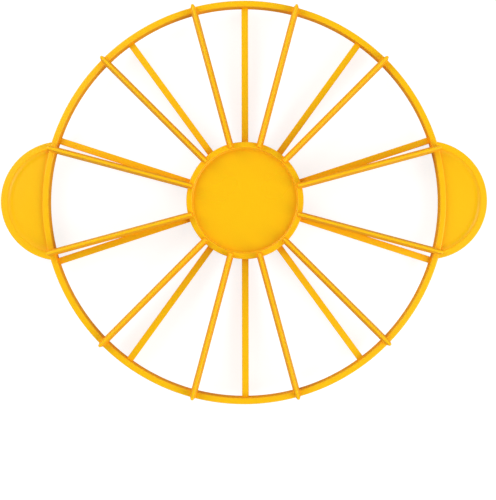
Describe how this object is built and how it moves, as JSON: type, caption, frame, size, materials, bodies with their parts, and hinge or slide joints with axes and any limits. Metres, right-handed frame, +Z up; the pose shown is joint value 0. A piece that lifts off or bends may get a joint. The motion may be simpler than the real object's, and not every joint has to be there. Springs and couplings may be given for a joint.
{
  "type": "cake portion marker",
  "caption": "Round plastic cake marker: a ring and hub joined by radial blades on both faces, one face per slice count, with two half-moon handles.",
  "frame": {"origin": "on the hub's axis, in the plane of the ten lower blades' edges", "axes": "+Z up along the hub's axis, towards the face with twelve blades; +X along the line through the two handles"},
  "size_m": [0.2846, 0.236, 0.02],
  "materials": {
    "yellow_plastic": "glossy moulded plastic, warm yellow, dyed through"
  },
  "bodies": {
    "root": {"portion_marker": "yellow_plastic"}
  },
  "joints": []
}
